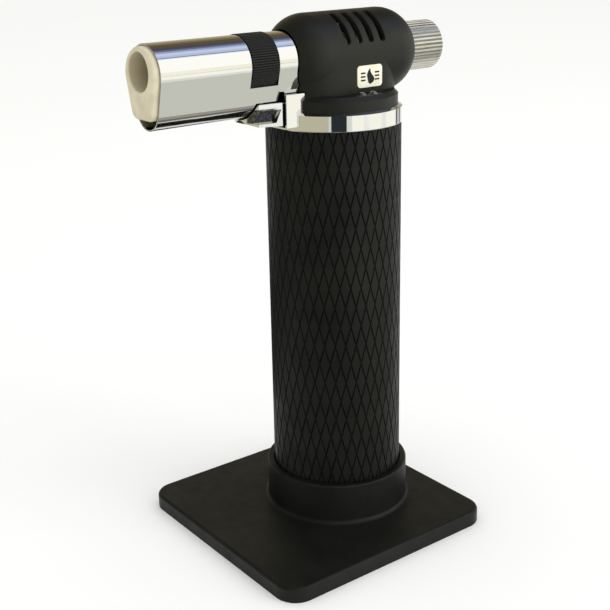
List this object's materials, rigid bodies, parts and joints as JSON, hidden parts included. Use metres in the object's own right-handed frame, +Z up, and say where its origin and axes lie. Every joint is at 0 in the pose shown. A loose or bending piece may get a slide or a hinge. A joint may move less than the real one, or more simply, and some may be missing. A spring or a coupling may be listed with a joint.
{
  "type": "butane torch",
  "caption": "Hand-held gas torch in a square socket stand: round grip tank, domed hood with vent slots, teardrop chrome nozzle with ceramic mouth, trigger, air ring and rear flow knob.",
  "frame": {"origin": "on the grip's axis, at the underside of the stand, where it rests on the bench", "axes": "+Z up along the grip; the burner points along -Y and the flow knob along +Y; X is across the torch"},
  "size_m": [0.0732, 0.0963, 0.1493],
  "materials": {
    "stand_plastic": "moulded, fine grain",
    "grip_plastic": "moulded diamond grip, satin",
    "tank_plastic": "natural nylon, satin",
    "seal_rubber": "matte",
    "brass": "turned, satin",
    "spring_steel": "drawn wire and sheet",
    "screw_steel": "zinc plated",
    "sintered_bronze": "sintered, granular",
    "chrome": "bright plated",
    "hood_plastic": "moulded, matte",
    "label_enamel": "cream enamel, satin",
    "knob_metal": "turned and fluted, satin",
    "ring_plastic": "moulded ribs, satin",
    "ceramic": "unglazed cream ceramic",
    "lead_insulation": "silicone sleeve",
    "piezo_plastic": "moulded"
  },
  "bodies": {
    "stand": {"stand_base": "stand_plastic"},
    "torch": {"grip_sleeve": "grip_plastic", "tank_shell": "tank_plastic", "tank_lid": "tank_plastic", "tank_lid_seal": "seal_rubber", "filler_valve_body": "brass", "filler_spring": "spring_steel", "wick_tube": "tank_plastic", "wick_filter": "sintered_bronze", "collar_ring": "chrome", "collar_screws": "screw_steel", "hood": "hood_plastic", "hood_screws": "screw_steel", "label_plate": "label_enamel", "valve_body": "brass", "valve_body_seal": "seal_rubber", "valve_nut": "brass", "valve_seat": "seal_rubber", "spindle_seal": "seal_rubber", "gland_nut": "brass", "jet_holder": "brass", "gas_jet": "brass", "jet_filter": "sintered_bronze", "burner_tube": "brass", "flame_holder": "brass", "ring_retainers": "spring_steel", "ceramic_nozzle": "ceramic", "nozzle_shroud": "chrome", "shroud_end_plate": "spring_steel", "electrode_wire": "spring_steel", "electrode_insulator": "ceramic", "ignition_lead": "lead_insulation", "piezo_body": "piezo_plastic", "piezo_spring": "spring_steel"},
    "knob": {"flow_knob": "knob_metal", "valve_spindle": "brass", "knob_grub_screw": "screw_steel"},
    "needle": {"valve_needle": "spring_steel"},
    "air_ring": {"air_ring": "ring_plastic"},
    "trigger": {"trigger": "chrome", "piezo_plunger": "piezo_plastic"},
    "filler_stem": {"filler_stem": "brass", "filler_seal": "seal_rubber"}
  },
  "joints": [
    {"name": "lift_out", "type": "slide", "parent": "stand", "child": "torch", "axis": [0, 0, 1], "range_m": [0, 0.03]},
    {"name": "knob_turn", "type": "hinge", "parent": "torch", "child": "knob", "pos_m": [0, 0.028, 0.1376], "axis": [0, 1, 0], "range_deg": [0, 270]},
    {"name": "needle_travel", "type": "slide", "parent": "torch", "child": "needle", "axis": [0, 1, 0], "range_m": [0, 0.00053]},
    {"name": "air_ring_turn", "type": "hinge", "parent": "torch", "child": "air_ring", "pos_m": [0, -0.0277, 0.1376], "axis": [0, 1, 0], "range_deg": [0, 30]},
    {"name": "trigger_press", "type": "slide", "parent": "torch", "child": "trigger", "axis": [0, 1, 0], "range_m": [0, 0.0045], "stiffness_N_per_m": 1500, "springref_m": -0.002, "deforming": ["piezo_spring"]},
    {"name": "filler_push", "type": "slide", "parent": "torch", "child": "filler_stem", "axis": [0, 0, 1], "range_m": [0, 0.002], "stiffness_N_per_m": 500, "deforming": ["filler_spring"]}
  ],
  "couplings": [
    {"joint": "needle_travel", "follows": "knob_turn", "m_per_rad": 0.0001114}
  ]
}
